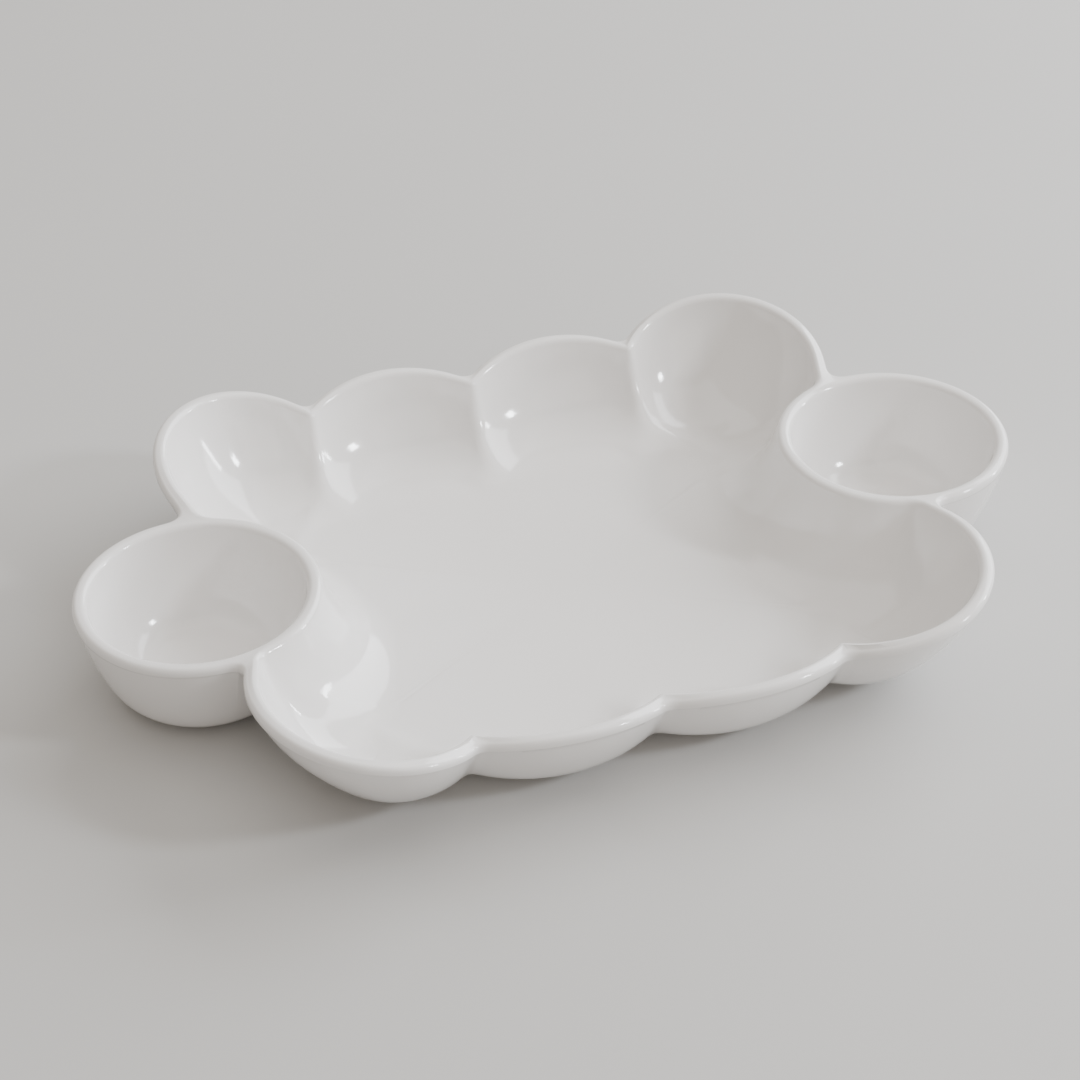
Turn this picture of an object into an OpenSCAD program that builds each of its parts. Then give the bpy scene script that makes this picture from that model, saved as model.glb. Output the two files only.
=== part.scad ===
// Cloud-shaped chip and dip server: one moulded shell, with a chip well and a dip cup
// at each end, standing on four soft pads seated in recesses under its base.
// Origin: middle of the footprint, on the surface the server stands on.
// +X runs along the length, +Y to the back and +Z up. All sizes are in millimetres.

/* [Overall] */
// Length over the two dip cups
length = 430; // [420:1:440]
// Height of the dip cups' rims above the table
rim_height = 48; // [46:0.5:52]
// Width of the land along the top of the rim, and level thickness of the walls
rim_w = 6; // [5.5:0.5:6.5]
// Height of the upright band below the rim
band_h = 4; // [3:0.5:5]
// Thickness of the floors
floor_t = 4; // [3.5:0.5:4.5]

/* [Dip cups] */
// Outer radius of a dip cup at the rim
cup_r = 52.5; // [52:0.25:53]

/* [Corner lobes] */
// Distance of a corner lobe's centre from the middle, along the length
corner_x = 111.5; // [110.5:0.5:112.5]
// Distance of a corner lobe's centre from the middle, across the width
corner_y = 82; // [81:0.5:83]
// Half size of a corner lobe along the length, at the rim
corner_half_x = 49.5; // [49:0.25:50]
// Half size of a corner lobe across the width, at the rim
corner_half_y = 58; // [57:0.25:59]

/* [Middle lobes] */
// Distance of a middle lobe's centre from the middle, along the length
mid_x = 39.5; // [38.5:0.5:40.5]
// Distance of a middle lobe's centre from the middle, across the width
mid_y = 72.5; // [71.5:0.5:73.5]
// Outer radius of a middle lobe at the rim
mid_r = 67.5; // [66.5:0.5:68.5]

/* [Rim wave] */
// Height of a corner lobe's crest above the cup rims
corner_crest = 7; // [4:0.5:8]
// Depth of the dip between a corner lobe and a middle lobe, below the cup rims
side_dip = 7; // [5:0.5:9]
// Depth of a middle lobe's crest below the cup rims
mid_crest = 2.5; // [1:0.5:4]
// Depth of the dip between the two middle lobes, below the cup rims
centre_dip = 9; // [7:0.5:11]

/* [Walls] */
// Lean of a cup's wall at the rim: millimetres inwards for each millimetre down
cup_lean = 0.14; // [0.12:0.01:0.18]
// Growth of a cup wall's lean with depth, for each millimetre down
cup_curl = 0.0035; // [0.003:0.0005:0.004]
// Lean of the well's side walls at the rim
side_lean = 0.2; // [0.16:0.01:0.24]
// Growth of the side walls' lean with depth
side_curl = 0.0075; // [0.0065:0.0005:0.008]
// Lean at the rim of a corner lobe's wall, where it faces straight outwards
corner_lean = 0.27; // [0.22:0.01:0.28]
// Growth with depth of the lean of that part of a corner lobe's wall
corner_curl = 0.0083; // [0.0075:0.0001:0.0085]
// Growth of the lean with depth of the well's end walls, behind the cups
end_curl = 0.0055; // [0.005:0.0005:0.006]
// Depth over which the inner faces bend into the floors, to each side of a floor's depth
floor_bend = 20; // [14:1:22]
// Depth over which the outer skins bend into the base
base_bend = 14; // [10:1:16]

/* [Feet] */
// Radius of a foot pad
foot_r = 7; // [6:0.5:8]
// Distance of a foot's centre from the middle, along the length
foot_x = 80; // [70:1:84]
// Distance of a foot's centre from the middle, across the width
foot_y = 60; // [50:1:64]
// How far a foot stands out below the base
foot_out = 2; // [1.5:0.25:2.5]
// Depth of the recess that holds a foot
foot_seat = 1.5; // [1:0.25:2]

/* [Hidden] */

base_z = foot_out;
floor_z = base_z + floor_t;
cup_c = [length / 2 - cup_r, 0];
corner_c = [corner_x, corner_y];
mid_c = [mid_x, mid_y];

// The well without its lobes: a rounded rectangle, given by its half sizes and corner radius
well_half = [148, 112];
well_corner_r = 60;
// The flat core that the rings of points close in on: half its length on the middle line,
// its half width, and how much longer it grows towards its edges
core = [76, 50];
core_flare = 0.28;

// Segments along each arc of a quarter of the rim, and steps of the rings that run in
// from it: a share of the way to the core, and for the cups a share of the full depth
n_cup = 16;
n_web = 2;
n_end = 10;
n_corner = 20;
n_mid = 10;
well_steps = [0.02, 0.05, 0.09, 0.14, 0.2, 0.27, 0.35, 0.44, 0.55, 0.7, 0.95];
cup_steps = [0.08, 0.2, 0.35, 0.5, 0.65, 0.8, 1];

// ---- plan of the rim: arcs in the quarter where x and y are positive ----

// Point on an ellipse; its half sizes are set in from the outside by a given width
function on_corner(inset, a) = corner_c + [(corner_half_x - inset) * cos(a), (corner_half_y - inset) * sin(a)];
function on_mid(inset, a) = mid_c + (mid_r - inset) * [cos(a), sin(a)];

// How far a point lies inside a circle, mirrored to each quarter, or a rounded rectangle
function in_circle(p, c, r) = r - norm([abs(p.x), abs(p.y)] - c);
function in_box(p, half, r) = let (q = [abs(p.x), abs(p.y)] - half + [r, r])
    r - norm([max(q.x, 0), max(q.y, 0)]) - min(max(q.x, q.y), 0);

// The value between two limits where a function changes from negative to positive
function root(f, low, high, n = 30) = let (middle = (low + high) / 2)
    n == 0 ? middle : f(middle) < 0 ? root(f, middle, high, n - 1) : root(f, low, middle, n - 1);

// Bearings of the cusps: where a corner lobe meets the cup and the middle lobe, as seen from
// the corner lobe, and where the middle lobe meets the corner lobe and its mirror image
function cup_cusp_a(inset) = root(function (a) norm(on_corner(inset, a) - cup_c) - cup_r, -60, 0);
function side_cusp_a(inset) = root(function (a) in_circle(on_corner(inset, a), mid_c, mid_r - inset), 60, 180);
function side_cusp(inset) = on_corner(inset, side_cusp_a(inset));
function bearing(c, p) = atan2(p.y - c.y, p.x - c.x);

// Height of the rim along an arc, from one end over its middle to the other end
function wave(u, z0, z_mid, z1) = rim_height + z0 * (1 - u) + z1 * u + 4 * u * (1 - u) * (z_mid - (z0 + z1) / 2);

// The rim along a corner lobe and a middle lobe; each point holds its plan and its height
function lobe_arcs(inset) =
    let (a0 = cup_cusp_a(inset), a1 = side_cusp_a(inset),
         b0 = bearing(mid_c, side_cusp(inset)), b1 = acos(-mid_x / (mid_r - inset)))
    concat([for (i = [0:n_corner - 1]) let (u = i / n_corner, p = on_corner(inset, a0 + (a1 - a0) * u))
               [p.x, p.y, wave(u, 0, corner_crest, -side_dip)]],
           [for (i = [0:n_mid]) let (u = i / n_mid, p = on_mid(inset, b0 + (b1 - b0) * u))
               [p.x, p.y, wave(u, -side_dip, -mid_crest, -centre_dip)]]);

function on_cup(r, a, z) = [cup_c.x + r * cos(a), r * sin(a), z];

// Bearings round a cup: to its outer cusp, on to the well's corner, and on to the middle line
outer_a = bearing(cup_c, on_corner(0, cup_cusp_a(0)));
inner_a = bearing(cup_c, on_corner(rim_w, cup_cusp_a(rim_w)));
cup_half = concat([for (i = [0:n_cup]) outer_a * i / n_cup],
                  [for (i = [1:n_web]) outer_a + (inner_a - outer_a) * i / n_web],
                  [for (i = [1:n_end]) inner_a + (180 - inner_a) * i / n_end]);
cup_angles = concat(cup_half, [for (i = [len(cup_half) - 2:-1:1]) 360 - cup_half[i]]);

outer_quarter = concat([for (i = [0:n_cup - 1]) on_cup(cup_r, cup_half[i], rim_height)], lobe_arcs(0));
well_quarter = concat([for (i = [0:n_end - 1]) on_cup(cup_r, cup_half[n_cup + n_web + n_end - i], rim_height)],
                      lobe_arcs(rim_w));

// A quarter mirrored into a closed loop, anticlockwise from above
function loop(q) =
    let (m = len(q) - 1)
    concat(q,
           [for (i = [m - 1:-1:0]) [-q[i].x, q[i].y, q[i].z]],
           [for (i = [1:m]) [-q[i].x, -q[i].y, q[i].z]],
           [for (i = [m - 1:-1:1]) [q[i].x, -q[i].y, q[i].z]]);

outer_loop = loop(outer_quarter);
well_loop = loop(well_quarter);

// ---- depth of the walls ----

// Depth below the rim of a wall that has run in by d, and how far it has run in at depth t
function sunk(d, lean, curl) = d <= 0 ? d / lean : (sqrt(lean * lean + 4 * curl * d) - lean) / (2 * curl);
function run_in(t, lean, curl) = lean * t + curl * t * t;

// Depth in a corner lobe, whose wall leans most where it faces straight outwards
function corner_depth(p, half) =
    let (q = [abs(p.x), abs(p.y)] - corner_c, k = norm([q.x / half.x, q.y / half.y]), far = max(1 - k, 0),
         w = max(1.8 * cos(atan2(q.y, q.x) - 66) - 0.8, -0.6) * (1 - far * far * far))
    sunk(k < 0.01 ? half.x : norm(q) * (1 / k - 1),
         side_lean + w * (corner_lean - side_lean), side_curl + w * (corner_curl - side_curl));

// The lesser of a wall's depth and the floor's, bent smoothly from one into the other
function bend(t, full, width) = let (h = max(width - abs(t - full), 0) / width)
    min(t, full) - h * h * width / 4;

// Depth at a point of the well's inner face (inset = rim_w) or of its outer skin (inset = 0)
function well_depth(p, inset) =
    min(max(corner_depth(p, [corner_half_x - inset, corner_half_y - inset]),
            sunk(in_circle(p, mid_c, mid_r - inset), side_lean, side_curl),
            sunk(in_box(p, well_half + [rim_w - inset, rim_w - inset], well_corner_r), side_lean, side_curl)),
        sunk(-in_circle(p, cup_c, cup_r - rim_w + inset), side_lean, end_curl));

function inner_z(p) = p.z - bend(well_depth(p, rim_w), p.z - floor_z, floor_bend);
function outer_z(p) = p.z - bend(max(well_depth(p, 0), band_h), p.z - base_z, base_bend);

// The skins of a cup and of the well meet under the rim, along the roof of a groove
roof_curl = cup_curl + end_curl;
roof_lean = cup_lean + side_lean;
roof_t = (sqrt(roof_lean * roof_lean + 4 * roof_curl * rim_w) - roof_lean) / (2 * roof_curl);
roof_r = cup_r - run_in(roof_t, cup_lean, cup_curl);

// ---- points of the shell, in rings that run in from the rim ----

n_outer = len(outer_loop);
n_well = len(well_loop);
n_mouth = len(cup_angles);
n_roof = n_web + n_end;

function mirrored(points) = [for (p = points) [-p.x, p.y, p.z]];
function clamp(v, limit) = max(-limit, min(limit, v));
// A point moved a share s of the way to the core; it keeps the height of its rim
function closer(p, s) = let (y = clamp(p.y, core.y), x = clamp(p.x * 1.12, core.x + core_flare * abs(y)))
    p + s * ([x, y, p.z] - p);

low_loop = [for (p = outer_loop) p - [0, 0, band_h]];
roof_pts = [for (j = [n_cup + 1:n_mouth - n_cup - 1]) on_cup(roof_r, cup_angles[j], rim_height - roof_t)];

// Edge of the well's outer skin: the groove's roof behind a cup, then the lobes
under_quarter = concat([for (j = [n_cup + n_roof:-1:n_cup + 1]) on_cup(roof_r, cup_angles[j], rim_height)],
                       [for (i = [n_cup:len(outer_quarter) - 1]) outer_quarter[i]]);
under_loop = loop(under_quarter);
under_pts = concat([for (s = well_steps, edge = under_loop) let (p = closer(edge, s)) [p.x, p.y, outer_z(p)]],
                   [[0, 0, base_z]]);
well_pts = concat(well_loop,
                  [for (s = well_steps, edge = well_loop) let (p = closer(edge, s)) [p.x, p.y, inner_z(p)]],
                  [[0, 0, floor_z]]);

// Outer skin of a cup, which starts at the band or, behind the cup, at the groove's roof
base_t = rim_height - base_z;
function skin_t(j, s) = let (t0 = j > n_cup && j < n_mouth - n_cup ? roof_t : band_h)
    t0 + (base_t + base_bend - t0) * s;
skin_pts = concat([for (s = cup_steps, j = [0:n_mouth - 1]) let (t = skin_t(j, s))
                      on_cup(cup_r - run_in(t, cup_lean, cup_curl), cup_angles[j],
                             rim_height - bend(t, base_t, base_bend))],
                  [on_cup(0, 0, base_z)]);
// Inner face of a cup
floor_depth = rim_height - floor_z;
mouth_pts = concat([for (s = concat([0], cup_steps), a = cup_angles) let (t = (floor_depth + floor_bend) * s)
                       on_cup(cup_r - rim_w - run_in(t, cup_lean, cup_curl), a,
                              rim_height - bend(t, floor_depth, floor_bend))],
                   [on_cup(0, 0, floor_z)]);

shell_pts = concat(outer_loop, low_loop, roof_pts, mirrored(roof_pts), under_pts, well_pts,
                   skin_pts, mirrored(skin_pts), mouth_pts, mirrored(mouth_pts));

// Index of each group's first point
low_0 = n_outer;
roof_0 = low_0 + n_outer;
under_0 = roof_0 + 2 * len(roof_pts);
well_0 = under_0 + len(under_pts);
skin_0 = well_0 + len(well_pts);
mouth_0 = skin_0 + 2 * len(skin_pts);

// ---- faces of the shell ----

function flip(faces) = [for (f = faces) [f[0], f[2], f[1]]];
function quad(a, b, c, d) = [[a, b, c], [a, c, d]];
function ring(first, n) = [for (i = [0:n - 1]) first + i];
function rings(first, n, count) = [for (k = [0:count - 1]) ring(first + k * n, n)];
function strip(a, b) = [for (i = [0:len(a) - 1]) let (j = (i + 1) % len(a)) each quad(a[i], a[j], b[j], b[i])];

// Faces between rings of points, closed in the middle by one last point
function bowl(loops, last) =
    concat([for (k = [0:len(loops) - 2]) each strip(loops[k], loops[k + 1])],
           [for (a = [loops[len(loops) - 1]], i = [0:len(a) - 1]) [a[i], a[(i + 1) % len(a)], last]]);

// Quarters count anticlockwise from the one where x and y are positive; each index below
// is found from a place in that quarter
function turn(quarter, i, n) = [i, n / 2 - i, n / 2 + i, (n - i) % n][quarter];
function on_right(quarter) = quarter == 0 || quarter == 3;
function out_i(quarter, i) = turn(quarter, i, n_outer);
function low_i(quarter, i) = low_0 + out_i(quarter, i);
function well_i(quarter, i) = well_0 + turn(quarter, i, n_well);
function mouth_i(quarter, j) = mouth_0 + (on_right(quarter) ? 0 : len(mouth_pts))
    + (quarter < 2 ? j : (n_mouth - j) % n_mouth);
function roof_i(quarter, k) = k == 0 ? low_i(quarter, n_cup)
    : roof_0 + (on_right(quarter) ? 0 : len(roof_pts)) + (quarter < 2 ? k - 1 : 2 * n_roof - 1 - k);

// First ring of the well's outer skin, and of each cup's outer skin
function under_i(quarter, i) = i < n_roof ? roof_i(quarter, n_roof - i) : low_i(quarter, n_cup + i - n_roof);
under_ring = let (m = len(under_quarter) - 1)
    [for (t = [0:4 * m - 1]) let (q = floor(t / m), i = t % m) under_i(q, q % 2 == 0 ? i : m - i)];
function skin_ring(upper, lower) =
    [for (j = [0:n_mouth - 1])
        j <= n_cup ? low_i(upper, j)
        : j >= n_mouth - n_cup ? low_i(lower, n_mouth - j)
        : roof_i(upper, 1) + j - n_cup - 1];

// The land of the rim in one quarter
function land(q) =
    let (web = n_cup + n_web)
    concat([for (i = [0:n_cup - 1])
                each quad(out_i(q, i), out_i(q, i + 1), mouth_i(q, i + 1), mouth_i(q, i))],
           [for (i = [n_cup:web - 1]) [out_i(q, n_cup), mouth_i(q, i + 1), mouth_i(q, i)]],
           [[out_i(q, n_cup), well_i(q, n_end), mouth_i(q, web)]],
           [for (i = [0:n_end - 1])
                each quad(mouth_i(q, web + i), well_i(q, n_end - i),
                          well_i(q, n_end - i - 1), mouth_i(q, web + i + 1))],
           [for (i = [0:n_corner + n_mid - 1])
                each quad(out_i(q, n_cup + i), out_i(q, n_cup + i + 1),
                          well_i(q, n_end + 1 + i), well_i(q, n_end + i))]);

under_skin = bowl(concat([under_ring], rings(under_0, len(under_loop), len(well_steps))), well_0 - 1);
well_face = bowl(rings(well_0, n_well, len(well_steps) + 1), skin_0 - 1);
function cup_skin(side, upper, lower) = let (first = skin_0 + side * len(skin_pts))
    bowl(concat([skin_ring(upper, lower)], rings(first, n_mouth, len(cup_steps))),
         first + len(skin_pts) - 1);
function cup_face(side) = let (first = mouth_0 + side * len(mouth_pts))
    bowl(rings(first, n_mouth, len(cup_steps) + 1), first + len(mouth_pts) - 1);

// Faces are listed clockwise as seen from outside; side 0 is the right cup and 1 the left
shell_faces = concat(strip(ring(0, n_outer), ring(low_0, n_outer)), under_skin, flip(well_face),
                     cup_skin(0, 0, 3), flip(cup_skin(1, 1, 2)), flip(cup_face(0)), cup_face(1),
                     flip(land(0)), land(1), flip(land(2)), land(3));

// ---- pieces ----

module at_foot(x_side, y_side) {
    translate([x_side * foot_x, y_side * foot_y, 0]) children();
}

module server_shell() {
    color("white")
    difference() {
        polyhedron(points = shell_pts, faces = shell_faces, convexity = 10);
        for (x_side = [-1, 1], y_side = [-1, 1])
            at_foot(x_side, y_side)
            cylinder(r = foot_r, h = base_z + foot_seat, $fn = 48);
    }
}

// A pad with a rounded lower edge; its upper part fills the recess
module foot(x_side, y_side) {
    edge = 1;
    color("gainsboro")
    at_foot(x_side, y_side)
    rotate_extrude($fn = 48)
    union() {
        square([foot_r - edge, foot_out + foot_seat]);
        translate([0, edge]) square([foot_r, foot_out + foot_seat - edge]);
        translate([foot_r - edge, edge]) circle(r = edge, $fn = 24);
    }
}

module foot_front_left() {
    foot(-1, -1);
}

module foot_front_right() {
    foot(1, -1);
}

module foot_back_left() {
    foot(-1, 1);
}

module foot_back_right() {
    foot(1, 1);
}

server_shell();
foot_front_left();
foot_front_right();
foot_back_left();
foot_back_right();
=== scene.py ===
# Cloud-shaped chip and dip server: the smooth, finely rounded shell around the CAD frame,
# on plain pale ground in soft studio light. Lengths are in millimetres up to the mesh, and in metres
# for the ground, the lights and the camera.
import math
import bpy
import numpy as np
from mathutils import Matrix, Vector


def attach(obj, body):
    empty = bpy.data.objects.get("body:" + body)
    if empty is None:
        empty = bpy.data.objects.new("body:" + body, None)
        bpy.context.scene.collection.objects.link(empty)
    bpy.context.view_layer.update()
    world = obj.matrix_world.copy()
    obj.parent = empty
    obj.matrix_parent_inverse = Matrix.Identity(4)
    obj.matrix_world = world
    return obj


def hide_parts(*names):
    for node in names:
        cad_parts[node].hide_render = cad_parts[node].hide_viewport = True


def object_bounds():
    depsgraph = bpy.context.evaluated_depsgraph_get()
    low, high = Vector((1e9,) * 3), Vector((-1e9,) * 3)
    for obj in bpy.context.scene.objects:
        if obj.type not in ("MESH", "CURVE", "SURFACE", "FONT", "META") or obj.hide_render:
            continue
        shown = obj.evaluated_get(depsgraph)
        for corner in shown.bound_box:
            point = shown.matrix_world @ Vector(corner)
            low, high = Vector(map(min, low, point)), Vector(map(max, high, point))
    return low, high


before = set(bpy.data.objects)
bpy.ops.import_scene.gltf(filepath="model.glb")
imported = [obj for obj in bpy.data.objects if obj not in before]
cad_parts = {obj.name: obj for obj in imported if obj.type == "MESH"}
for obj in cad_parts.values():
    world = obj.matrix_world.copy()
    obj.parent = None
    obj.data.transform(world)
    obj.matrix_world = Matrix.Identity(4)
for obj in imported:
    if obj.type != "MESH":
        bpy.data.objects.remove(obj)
cad_low, cad_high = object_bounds()

# ---- sizes, the same as the CAD's ----
LENGTH = (cad_high.x - cad_low.x) * 1000
RIM = 48.0           # height of the cups' rims above the ground
RIM_W = 6.0          # land of the rim
BAND_H = 4.0         # upright band below the rim
BASE_Z = 2.0         # underside of the base
FLOOR_Z = 6.0        # top of the floors
CUP_R = 52.5
CUP = np.array([LENGTH / 2 - CUP_R, 0.0])
CORNER = np.array([111.5, 82.0])         # centre and half axes of a corner lobe
CORNER_HALF = np.array([49.5, 58.0])
MID = np.array([39.5, 72.5])             # centre and radius of a middle lobe
MID_R = 67.5
WELL_HALF = np.array([148.0, 112.0])     # rounded box that fills the well between the lobes
WELL_CORNER_R = 60.0

# The rim: a corner lobe's crest above the cups' rims, then below them the ridge beside it, the middle
# lobe and the centre ridge
CORNER_CREST, SIDE_DIP, MID_CREST, CENTRE_DIP = 7.0, 7.0, 2.5, 9.0

# Run-in of the walls: the lean at the rim, and its growth with depth
CUP_LEAN, CUP_CURL = 0.14, 0.0035
SIDE_LEAN, SIDE_CURL = 0.2, 0.0075
CORNER_LEAN, CORNER_CURL = 0.27, 0.0083
LEAN_BEARING = math.radians(66)   # bearing, from the length, at which a corner lobe's wall leans most
LEAN_SPREAD = 1.8    # how fast its extra lean falls off to either side of that
LEAST_LEAN = -0.6    # least share of the extra lean, towards the middle lobe
END_CURL = 0.0055    # the same growth for the well's wall round a cup
FLOOR_BEND, BASE_BEND = 20.0, 14.0       # depth over which the walls bend into the floor and the base

# ---- soft roundings that the CAD leaves out ----
EDGE_OUT = 2.4       # outer edge of the rim
EDGE_IN = 3.0        # inner edge of the rim
CHAMFER = 0.25       # parting edge under the band
NOTCH_CUP = 9.0      # blend of a cup into its neighbouring lobes
NOTCH_OUT = 4.5      # blend of the lobes, outside
NOTCH_IN = 3.2       # blend of the lobes, inside
RIDGE_GROWTH = 0.2   # widening of the ridges between the lobes towards the floor
WELL_CORNER = 5.0    # blend of the cups' walls into the well
BODY_BLEND = 6.0     # blend of the lobes into the body between them
RIM_CALM = 3.5       # width over which the rim's kinks are rounded

# ---- where the rings of the well close in to, on the flat of the floor ----
CORE_X, CORE_Y = 76.0, 50.0
CORE_FLARE = 0.28    # growth of the core's half length with the distance from the middle line
CORE_PULL = 1.12     # stretch of the rings towards the core's ends
RING_END = 0.97      # share of the way to the core at the last ring
EDGE_FADE = 12       # how fast the walls forget the rounded edge they start from
CALM_START, CALM_GROWTH = 0.35, 42.0   # width that evens out the rim's wave, and its growth inwards
NOTCH_EASE = math.radians(9)           # length of the groove's run-out into the notches beside a cup

# Segments along the arcs of a quarter, and steps of the rings
N_CUP, N_WEB, N_END, N_CORNER, N_MID = 56, 10, 46, 120, 60
N_WELL, N_UNDER, N_BOWL = 52, 36, 44


# ---- plan ----

def outer_parts(a, centre, r):
    return centre + r * np.stack([np.cos(a), np.sin(a)], -1)


def corner_point(inset, a):
    return CORNER + (CORNER_HALF - inset) * np.stack([np.cos(a), np.sin(a)], -1)


def in_circle(p, c, r):
    return r - np.hypot(np.abs(p[..., 0]) - c[0], np.abs(p[..., 1]) - c[1])


def in_corner(p, half):
    """How far a point lies inside a corner lobe, as the equal distance from a side wall."""
    q = np.abs(p) - CORNER
    k = np.maximum(np.hypot(q[..., 0] / half[0], q[..., 1] / half[1]), 1e-6)
    d = np.where(k < 0.01, half[0], np.hypot(q[..., 0], q[..., 1]) * (1 / k - 1))
    turned = np.cos(np.arctan2(q[..., 1], q[..., 0]) - LEAN_BEARING)
    w = np.maximum(1 - LEAN_SPREAD * (1 - turned), LEAST_LEAN)
    w = w * (1 - np.clip(1 - k, 0, None) ** 3)
    return as_side(d, SIDE_LEAN + w * (CORNER_LEAN - SIDE_LEAN), SIDE_CURL + w * (CORNER_CURL - SIDE_CURL))


def in_box(p, half, r):
    q = np.abs(p) - half + r
    return (r - np.hypot(np.maximum(q[..., 0], 0), np.maximum(q[..., 1], 0))
            - np.minimum(np.maximum(q[..., 0], q[..., 1]), 0))


def smooth_max(a, b, k):
    h = np.clip(k - np.abs(a - b), 0, None) / k
    return np.maximum(a, b) + h * h * k / 4


def smooth_min(a, b, k):
    return -smooth_max(-a, -b, k)


def sunk(d, lean, curl):
    """Depth of a wall at a distance in from the rim; the inverse of run_in."""
    curved = (np.sqrt(lean ** 2 + 4 * curl * np.maximum(d, 0)) - lean) / (2 * curl)
    return np.where(d <= 0, d / lean, curved)


def run_in(t, lean, curl):
    return lean * t + curl * t * t


def bend(t, full, width):
    h = np.clip(width - np.abs(t - full), 0, None) / width
    return np.minimum(t, full) - h * h * width / 4


def as_side(d, lean, curl):
    """The run-in of a side wall that is as deep as another kind of wall is at d."""
    t = sunk(d, lean, curl)
    return np.where(d <= 0, d, run_in(np.maximum(t, 0), SIDE_LEAN, SIDE_CURL))


def body_inset(p, inset, blend):
    """How far a point lies inside the lobed body, whose ridges widen as they go in."""
    corner = in_corner(p, CORNER_HALF - inset)
    mid = in_circle(p, MID, MID_R - inset)
    # the mirror image of the middle lobe
    q = np.stack([np.abs(p[..., 0]), np.abs(p[..., 1])], -1)
    twin = MID_R - inset - np.hypot(q[..., 0] + MID[0], q[..., 1] - MID[1])
    k = blend + RIDGE_GROWTH * np.clip(np.maximum(corner, mid), 0, 30)
    lobes = smooth_max(smooth_max(mid, twin, k), corner, k)
    box = in_box(p, WELL_HALF + RIM_W - inset, WELL_CORNER_R)
    return smooth_max(lobes, box, BODY_BLEND)


def end_inset(p, inset):
    """How far a point lies from the wall round a cup, as the equal distance from a side wall."""
    return as_side(-in_circle(p, CUP, CUP_R - RIM_W + inset), SIDE_LEAN, END_CURL)


def well_inset(p):
    end = end_inset(p, RIM_W)
    body = body_inset(p, RIM_W, NOTCH_IN)
    return smooth_min(body, end, WELL_CORNER)


def outer_inset(p):
    return smooth_max(body_inset(p, 0, NOTCH_OUT), in_circle(p, CUP, CUP_R), NOTCH_CUP)


def skin_inset(p):
    """The well's outer skin; behind a cup it turns down from the groove's roof."""
    end = end_inset(p, 0)
    return np.minimum(outer_inset(p), end)


def gradient(f, p):
    e = 0.02
    gx = (f(p + [e, 0]) - f(p - [e, 0])) / (2 * e)
    gy = (f(p + [0, e]) - f(p - [0, e])) / (2 * e)
    return np.stack([gx, gy], -1)


def settle(f, p):
    """Moves points onto the smooth outline where f is zero."""
    for _ in range(30):
        g = gradient(f, p)
        p = p - 0.7 * f(p)[:, None] * g / np.maximum((g * g).sum(-1), 0.2)[:, None]
    return p


def root(f, low, high):
    for _ in range(50):
        m = (low + high) / 2
        low, high = (m, high) if f(m) < 0 else (low, m)
    return (low + high) / 2


def cup_cusp(inset):
    return root(lambda a: float(np.hypot(*(corner_point(inset, a) - CUP)) - CUP_R), -math.pi / 3, 0.0)


def side_cusp(inset):
    return root(lambda a: float(in_circle(corner_point(inset, a), MID, MID_R - inset)),
                math.pi / 3, math.pi)


def wave(u, z0, z_mid, z1):
    return RIM + z0 * (1 - u) + z1 * u + 4 * u * (1 - u) * (z_mid - (z0 + z1) / 2)


def lobe_arcs(inset):
    a0, a1 = cup_cusp(inset), side_cusp(inset)
    cusp = corner_point(inset, a1)
    b0 = math.atan2(cusp[1] - MID[1], cusp[0] - MID[0])
    b1 = math.acos(-MID[0] / (MID_R - inset))
    u = np.arange(N_CORNER) / N_CORNER
    v = np.arange(N_MID + 1) / N_MID
    xy = np.concatenate([corner_point(inset, a0 + (a1 - a0) * u),
                         outer_parts(b0 + (b1 - b0) * v, MID, MID_R - inset)])
    z = np.concatenate([wave(u, 0, CORNER_CREST, -SIDE_DIP), wave(v, -SIDE_DIP, -MID_CREST, -CENTRE_DIP)])
    return xy, z


def bearing(p):
    return math.atan2(p[1] - CUP[1], p[0] - CUP[0])


OUTER_A = bearing(corner_point(0, cup_cusp(0)))
INNER_A = bearing(corner_point(RIM_W, cup_cusp(RIM_W)))
CUP_HALF = np.concatenate([OUTER_A * np.arange(N_CUP + 1) / N_CUP,
                           OUTER_A + (INNER_A - OUTER_A) * np.arange(1, N_WEB + 1) / N_WEB,
                           INNER_A + (math.pi - INNER_A) * np.arange(1, N_END + 1) / N_END])
CUP_ANGLES = np.concatenate([CUP_HALF, 2 * math.pi - CUP_HALF[-2:0:-1]])


def loop(xy, z):
    """A quarter, mirrored into a closed loop, anticlockwise from above."""
    m = len(xy) - 1
    back = np.arange(m - 1, -1, -1)
    on = np.arange(1, m + 1)
    last = np.arange(m - 1, 0, -1)
    p = np.concatenate([xy, xy[back] * [-1, 1], xy[on] * [-1, -1], xy[last] * [1, -1]])
    return p, np.concatenate([z, z[back], z[on], z[last]])


def calmed(p, z, width):
    """Heights along a closed loop, with their kinks rounded over a given width."""
    step = np.hypot(*(np.roll(p, -1, 0) - p).T)
    s = np.concatenate([[0], np.cumsum(step)])
    total = s[-1]
    s = s[:-1]
    gap = np.abs(s[:, None] - s[None, :])
    gap = np.minimum(gap, total - gap)
    w = np.exp(-0.5 * (gap / width) ** 2) * ((step + np.roll(step, 1)) / 2)[None, :]
    return (w @ z) / w.sum(1)


quarter_xy, quarter_z = lobe_arcs(0)
cup_xy = outer_parts(CUP_HALF[:N_CUP], CUP, CUP_R)
hard_outer, outer_z = loop(np.concatenate([cup_xy, quarter_xy]),
                           np.concatenate([np.full(N_CUP, RIM), quarter_z]))
OUTER = settle(outer_inset, hard_outer)
OUTER_Z = calmed(OUTER, outer_z, RIM_CALM)

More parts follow.
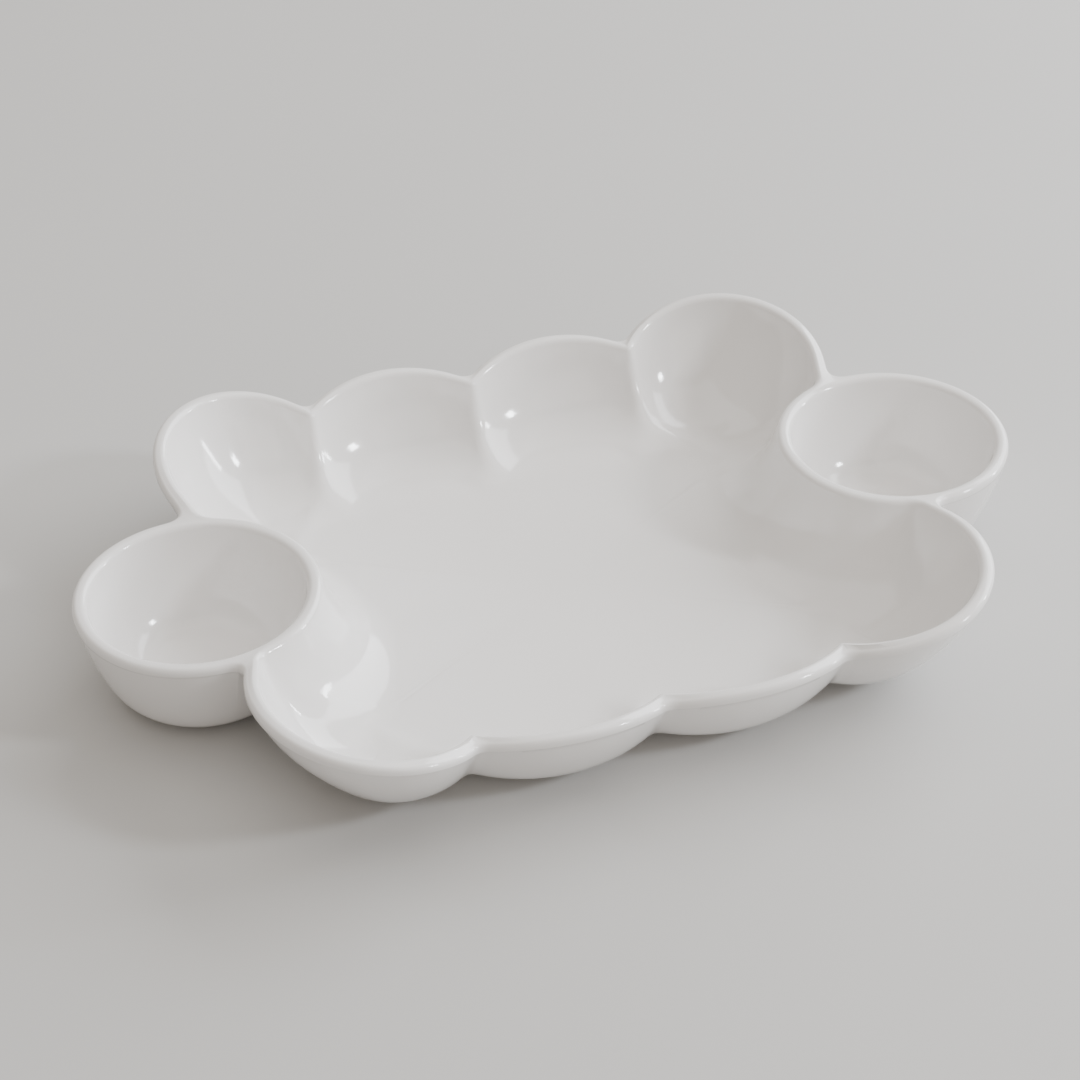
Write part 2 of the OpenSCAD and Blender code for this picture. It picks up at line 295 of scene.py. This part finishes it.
quarter_xy, quarter_z = lobe_arcs(RIM_W)
end_xy = outer_parts(CUP_HALF[::-1][:N_END], CUP, CUP_R)
hard_well, well_z = loop(np.concatenate([end_xy, quarter_xy]),
                         np.concatenate([np.full(N_END, RIM), quarter_z]))
WELL = settle(well_inset, hard_well)
WELL_Z = calmed(WELL, well_z, RIM_CALM)


# ---- mesh ----

class Net:
    """Rings of points and the faces between them."""

    def __init__(self):
        self.points = []
        self.faces = []
        self.count = 0

    def add(self, xy, z):
        xy = np.atleast_2d(xy)
        z = np.broadcast_to(z, (len(xy),))
        first = self.count
        self.points.append(np.column_stack([xy, z]))
        self.count += len(xy)
        return np.arange(first, self.count)

    def strip(self, a, b, flip=False, closed=True):
        n = len(a)
        stop = n if closed else n - 1
        i = np.arange(stop)
        j = (i + 1) % n
        quads = np.stack([a[i], a[j], b[j], b[i]], -1)
        self.faces.extend((quads[:, ::-1] if flip else quads).tolist())

    def rings(self, loops, flip=False):
        for a, b in zip(loops[:-1], loops[1:]):
            self.strip(a, b, flip)

    def cap(self, a, centre, flip=False):
        i = np.arange(len(a))
        tris = np.stack([a[i], a[(i + 1) % len(a)], np.full(len(a), centre[0])], -1)
        self.faces.extend((tris[:, ::-1] if flip else tris).tolist())

    def mesh(self, name):
        data = bpy.data.meshes.new(name)
        points = np.concatenate(self.points) / 1000
        data.from_pydata(points.tolist(), [], self.faces)
        data.validate()
        data.polygons.foreach_set("use_smooth", [True] * len(data.polygons))
        data.update()
        o = bpy.data.objects.new(name, data)
        bpy.context.scene.collection.objects.link(o)
        return o


net = Net()


def inward(f, p):
    g = gradient(f, p)
    return g / np.hypot(g[:, 0], g[:, 1])[:, None]


def core(p):
    """Each point's own place on the outline of the core."""
    y = np.clip(p[:, 1], -CORE_Y, CORE_Y)
    limit = CORE_X + CORE_FLARE * np.abs(y)
    return np.column_stack([np.clip(p[:, 0] * CORE_PULL, -limit, limit), y])


def shares(n, power):
    """Shares of the way in, at the rings after the first; they crowd near the start."""
    return (np.arange(1, n + 1) / n) ** power


# Outer edge of the rim and the upright band below it
n_out = inward(outer_inset, OUTER)
arc = np.linspace(math.pi / 2, 0, 8)
outer_rings = [net.add(OUTER + n_out * EDGE_OUT * (1 - math.cos(a)), OUTER_Z - EDGE_OUT * (1 - math.sin(a)))
               for a in arc]
outer_rings.append(net.add(OUTER, OUTER_Z - (EDGE_OUT + BAND_H) / 2))
outer_rings.append(net.add(OUTER, OUTER_Z - BAND_H + CHAMFER))
outer_rings.append(net.add(OUTER + n_out * CHAMFER, OUTER_Z - BAND_H))
net.rings(outer_rings, flip=True)
OUT_TOP = outer_rings[0]
OUT_LOW = outer_rings[-1]


def rounded_lip(p, z, n, lean):
    """Rings over the rim's inner edge, from the land to the wall; returns them and where they end."""
    slope = math.atan(1 / lean)
    a = EDGE_IN * math.tan(slope / 2)
    out = []
    for t in np.linspace(0, slope, 9):
        d = -a + EDGE_IN * math.sin(t)
        out.append(net.add(p + n * d, z - EDGE_IN * (1 - math.cos(t))))
    return out, p + n * a * math.cos(slope), a * math.sin(slope)


# Inner face of the well
n_in = inward(well_inset, WELL)
well_rings, start, lip_t = rounded_lip(WELL, WELL_Z, n_in, SIDE_LEAN)
WELL_TOP = well_rings[0]
goal = core(start)
t_first = sunk(well_inset(start), SIDE_LEAN, SIDE_CURL)
for s in shares(N_WELL, 1.7) * RING_END:
    p = start + s * (goal - start)
    t = sunk(well_inset(p), SIDE_LEAN, SIDE_CURL) + (lip_t - t_first) * (1 - s) ** EDGE_FADE
    rim = calmed(start, WELL_Z, CALM_START + CALM_GROWTH * s)
    well_rings.append(net.add(p, rim - bend(t, rim - FLOOR_Z, FLOOR_BEND)))
net.rings(well_rings)
net.cap(well_rings[-1], net.add(np.zeros((1, 2)), FLOOR_Z))

# Inner faces of the cups
bowl_t = np.concatenate([np.linspace(0, 0.35, 10)[1:], np.linspace(0.35, 1, N_BOWL - 8)[1:]])
mouth_top = {}
for side in (1, -1):
    xy = outer_parts(CUP_ANGLES, CUP, CUP_R - RIM_W) * [side, 1]
    n = (CUP * [side, 1] - xy) / (CUP_R - RIM_W)
    loops, start, lip_t = rounded_lip(xy, RIM, n, CUP_LEAN)
    mouth_top[side] = loops[0]
    r0 = CUP_R - RIM_W - run_in(lip_t, CUP_LEAN, CUP_CURL)
    depth = RIM - FLOOR_Z
    for s in bowl_t:
        t = lip_t + (depth + FLOOR_BEND - lip_t) * s
        r = CUP_R - RIM_W - run_in(t, CUP_LEAN, CUP_CURL)
        loops.append(net.add(outer_parts(CUP_ANGLES, CUP, r) * [side, 1], RIM - bend(t, depth, FLOOR_BEND)))
    r_flat = CUP_R - RIM_W - run_in(depth + FLOOR_BEND, CUP_LEAN, CUP_CURL)
    for s in (0.66, 0.33):
        loops.append(net.add(outer_parts(CUP_ANGLES, CUP, r_flat * s) * [side, 1], FLOOR_Z))
    net.rings(loops, flip=side < 0)
    net.cap(loops[-1], net.add(CUP[None] * [side, 1], FLOOR_Z), flip=side < 0)

# ---- land of the rim, quarter by quarter ----
n_outer, n_well, n_mouth = len(OUTER), len(WELL), len(CUP_ANGLES)


def turn(q, i, n):
    return (i, n // 2 - i, n // 2 + i, (n - i) % n)[q]


def mouth_i(q, j):
    ring = mouth_top[1 if q in (0, 3) else -1]
    return ring[j if q < 2 else (n_mouth - j) % n_mouth]


def face(q, *corners):
    """A face of the land; every second quarter is a mirror image."""
    net.faces.append([int(c) for c in (corners if q in (0, 2) else corners[::-1])])


web = N_CUP + N_WEB
for q in range(4):
    def o_i(i):
        return OUT_TOP[turn(q, i, n_outer)]

    def w_i(i):
        return WELL_TOP[turn(q, i, n_well)]

    for i in range(N_CUP):
        face(q, o_i(i), o_i(i + 1), mouth_i(q, i + 1), mouth_i(q, i))
    for i in range(N_CUP, web):
        face(q, o_i(N_CUP), mouth_i(q, i + 1), mouth_i(q, i))
    face(q, o_i(N_CUP), w_i(N_END), mouth_i(q, web))
    for i in range(N_END):
        face(q, mouth_i(q, web + i), w_i(N_END - i), w_i(N_END - i - 1), mouth_i(q, web + i + 1))
    for i in range(N_CORNER + N_MID):
        face(q, o_i(N_CUP + i), o_i(N_CUP + i + 1), w_i(N_END + 1 + i), w_i(N_END + i))

# ---- outer skins: the well's and the cups' meet under the rim, along the roof of a groove ----
roof_curl = CUP_CURL + END_CURL
roof_lean = CUP_LEAN + SIDE_LEAN
ROOF_T = (math.sqrt(roof_lean ** 2 + 4 * roof_curl * RIM_W) - roof_lean) / (2 * roof_curl)
ROOF_R = CUP_R - run_in(ROOF_T, CUP_LEAN, CUP_CURL)
tip = OUTER[N_CUP]
TIP_R = float(np.hypot(*(tip - CUP)))
roof_a = CUP_ANGLES[N_CUP + 1:n_mouth - N_CUP]
away = np.minimum(roof_a, 2 * math.pi - roof_a) - OUTER_A
ease = np.clip(away / NOTCH_EASE, 0, 1)
ease = ease * ease * (3 - 2 * ease)
roof_r = TIP_R + (ROOF_R - TIP_R) * ease
roof_t = BAND_H + (ROOF_T - BAND_H) * ease
roof_ids = {}
for side in (1, -1):
    xy = CUP + np.column_stack([roof_r * np.cos(roof_a), roof_r * np.sin(roof_a)])
    roof_ids[side] = net.add(xy * [side, 1], RIM - roof_t)
all_points = np.concatenate(net.points)

def roof_i(q, k):
    """k = 0 is the tip of the notch, and the last k lies on the middle line."""
    if k == 0:
        return OUT_LOW[turn(q, N_CUP, n_outer)]
    ids = roof_ids[1 if q in (0, 3) else -1]
    return ids[k - 1] if q < 2 else ids[len(ids) - k]


n_roof = len(roof_a) // 2 + 1
under_len = n_roof + N_CORNER + N_MID


def under_i(q, i):
    return roof_i(q, n_roof - i) if i < n_roof else OUT_LOW[turn(q, N_CUP + i - n_roof, n_outer)]


under = []
for q in range(4):
    for i in range(under_len):
        under.append(under_i(q, i if q % 2 == 0 else under_len - i))
under = np.array(under)
u_xy = all_points[under, :2]
u_start = all_points[under, 2]
u_rim = np.empty(len(under))
for q in range(4):
    for i in range(under_len):
        j = i if q % 2 == 0 else under_len - i
        u_rim[q * under_len + i] = RIM if j < n_roof else OUTER_Z[turn(q, N_CUP + j - n_roof, n_outer)]
goal = core(u_xy)
t0 = u_rim - u_start
on_band = t0 < BAND_H + 0.3
t_first = sunk(skin_inset(u_xy), SIDE_LEAN, SIDE_CURL)
under_rings = [under]
for s in shares(N_UNDER, 1.6) * RING_END:
    p = u_xy + s * (goal - u_xy)
    t = sunk(skin_inset(p), SIDE_LEAN, SIDE_CURL)
    t = np.maximum(np.where(on_band, t, t + (t0 - t_first) * (1 - s) ** EDGE_FADE), BAND_H)
    under_rings.append(net.add(p, u_rim - bend(t, u_rim - BASE_Z, BASE_BEND)))
net.rings(under_rings, flip=True)
net.cap(under_rings[-1], net.add(np.zeros((1, 2)), BASE_Z), flip=True)

for side in (1, -1):
    upper, lower = (0, 3) if side > 0 else (1, 2)
    ids = []
    for j in range(n_mouth):
        if j <= N_CUP:
            ids.append(OUT_LOW[turn(upper, j, n_outer)])
        elif j >= n_mouth - N_CUP:
            ids.append(OUT_LOW[turn(lower, n_mouth - j, n_outer)])
        else:
            ids.append(roof_ids[side][j - N_CUP - 1])
    ids = np.array(ids)
    start = all_points[ids]
    flat = start[:, :2] * [side, 1] - CUP
    r0 = np.hypot(flat[:, 0], flat[:, 1])
    a0 = np.arctan2(flat[:, 1], flat[:, 0])
    t0 = RIM - start[:, 2]
    spare = r0 - (CUP_R - run_in(t0, CUP_LEAN, CUP_CURL))
    base_t = RIM - BASE_Z
    loops = [ids]
    for s in shares(N_UNDER, 1.2):
        t = t0 + (base_t + BASE_BEND - t0) * s
        r = CUP_R - run_in(t, CUP_LEAN, CUP_CURL) + spare * (1 - s) ** 6
        xy = CUP + np.column_stack([r * np.cos(a0), r * np.sin(a0)])
        loops.append(net.add(xy * [side, 1], RIM - bend(t, base_t, BASE_BEND)))
    r_flat = CUP_R - run_in(base_t + BASE_BEND, CUP_LEAN, CUP_CURL)
    xy = CUP + 0.5 * r_flat * np.column_stack([np.cos(a0), np.sin(a0)])
    loops.append(net.add(xy * [side, 1], BASE_Z))
    net.rings(loops, flip=side > 0)
    net.cap(loops[-1], net.add(CUP[None] * [side, 1], BASE_Z), flip=side > 0)

shell = net.mesh("server_shell_smooth")
shell.data.set_sharp_from_angle(angle=math.radians(50))
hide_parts("server_shell")
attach(shell, "root")


# ---- materials ----

def node_material(name, dark, light, scale, rough, bump, ior=1.5):
    """A surface whose colour and roughness drift a little, with a faint relief."""
    mat = bpy.data.materials.new(name)
    mat.use_nodes = True
    nodes, links = mat.node_tree.nodes, mat.node_tree.links
    nodes.clear()
    out = nodes.new("ShaderNodeOutputMaterial")
    bsdf = nodes.new("ShaderNodeBsdfPrincipled")
    links.new(bsdf.outputs["BSDF"], out.inputs["Surface"])
    coord = nodes.new("ShaderNodeTexCoord")
    noise = nodes.new("ShaderNodeTexNoise")
    noise.inputs["Scale"].default_value = scale
    noise.inputs["Detail"].default_value = 3
    links.new(coord.outputs["Object"], noise.inputs["Vector"])
    ramp = nodes.new("ShaderNodeValToRGB")
    ramp.color_ramp.elements[0].position = 0.3
    ramp.color_ramp.elements[1].position = 0.7
    ramp.color_ramp.elements[0].color = (*dark, 1)
    ramp.color_ramp.elements[1].color = (*light, 1)
    links.new(noise.outputs["Fac"], ramp.inputs["Fac"])
    links.new(ramp.outputs["Color"], bsdf.inputs["Base Color"])
    spread = nodes.new("ShaderNodeMapRange")
    spread.inputs["To Min"].default_value = rough[0]
    spread.inputs["To Max"].default_value = rough[1]
    links.new(noise.outputs["Fac"], spread.inputs["Value"])
    links.new(spread.outputs["Result"], bsdf.inputs["Roughness"])
    bsdf.inputs["IOR"].default_value = ior
    fine = nodes.new("ShaderNodeTexNoise")
    fine.inputs["Scale"].default_value = scale * 3
    fine.inputs["Detail"].default_value = 1
    links.new(coord.outputs["Object"], fine.inputs["Vector"])
    relief = nodes.new("ShaderNodeBump")
    relief.inputs["Strength"].default_value = bump
    relief.inputs["Distance"].default_value = 0.001
    links.new(fine.outputs["Fac"], relief.inputs["Height"])
    links.new(relief.outputs["Normal"], bsdf.inputs["Normal"])
    return mat


gloss = node_material("gloss_white_melamine", (0.825, 0.811, 0.80), (0.85, 0.836, 0.825), 9,
                      (0.08, 0.13), 0.05, 1.55)
rubber = node_material("pale_silicone", (0.36, 0.355, 0.34), (0.42, 0.415, 0.40), 60,
                       (0.5, 0.62), 0.15, 1.41)
ground = node_material("plain_ground", (0.52, 0.515, 0.505), (0.53, 0.525, 0.515), 3, (0.6, 0.65), 0.0)
shell.data.materials.append(gloss)
for name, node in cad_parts.items():
    if name != "server_shell":
        node.data.materials.clear()
        node.data.materials.append(rubber)

# ---- ground, light and camera ----
floor_mesh = bpy.data.meshes.new("ground")
far = 6.0
floor_mesh.from_pydata([(-far, -far, 0), (far, -far, 0), (far, far, 0), (-far, far, 0)], [], [(0, 1, 2, 3)])
floor = bpy.data.objects.new("ground", floor_mesh)
bpy.context.scene.collection.objects.link(floor)
floor_mesh.materials.append(ground)


def aimed(where, at):
    return (Vector(at) - Vector(where)).to_track_quat("-Z", "Y")


def panel(name, where, at, size, power, colour):
    light = bpy.data.lights.new(name, "AREA")
    light.shape = "RECTANGLE"
    light.size, light.size_y = size
    light.energy = power
    light.color = colour
    o = bpy.data.objects.new(name, light)
    o.location = where
    o.rotation_mode = "QUATERNION"
    o.rotation_quaternion = aimed(where, at)
    bpy.context.scene.collection.objects.link(o)
    return o


panel("window_front", (2.16, -1.4, 1.55), (0, 0, 0), (0.32, 0.42), 44, (0.93, 0.96, 1.0))
panel("window_side", (2.9, -0.3, 0.7), (0, 0, 0), (0.2, 0.7), 20, (0.93, 0.96, 1.0))
panel("soft_right", (2.4, 0.9, 1.4), (0, 0, 0), (2.8, 2.0), 126, (0.93, 0.96, 1.0))
panel("soft_top", (0.0, 0.4, 3.0), (0, 0, 0), (3.6, 3.6), 47, (1.0, 0.97, 0.93))
panel("soft_front", (0.2, -3.0, 2.0), (0, 0, 0), (3.4, 2.4), 24, (1.0, 0.95, 0.90))

world = bpy.data.worlds.new("studio")
world.use_nodes = True
backdrop = world.node_tree.nodes["Background"]
backdrop.inputs["Color"].default_value = (0.97, 0.89, 0.80, 1)
backdrop.inputs["Strength"].default_value = 0.5
bpy.context.scene.world = world

camera_data = bpy.data.cameras.new("camera")
camera_data.sensor_width = 36
camera_data.lens = 80.7
camera_data.clip_end = 50
camera = bpy.data.objects.new("camera", camera_data)
eye = Vector((-0.2906, -0.8038, 0.6802))
aim = Vector((-0.0153, -0.0182, 0.048))
camera.location = eye
camera.rotation_mode = "QUATERNION"
look = (aim - eye).to_track_quat("-Z", "Y")
camera.rotation_quaternion = look @ Matrix.Rotation(math.radians(-0.88), 4, "Z").to_quaternion()
bpy.context.scene.collection.objects.link(camera)
bpy.context.scene.camera = camera
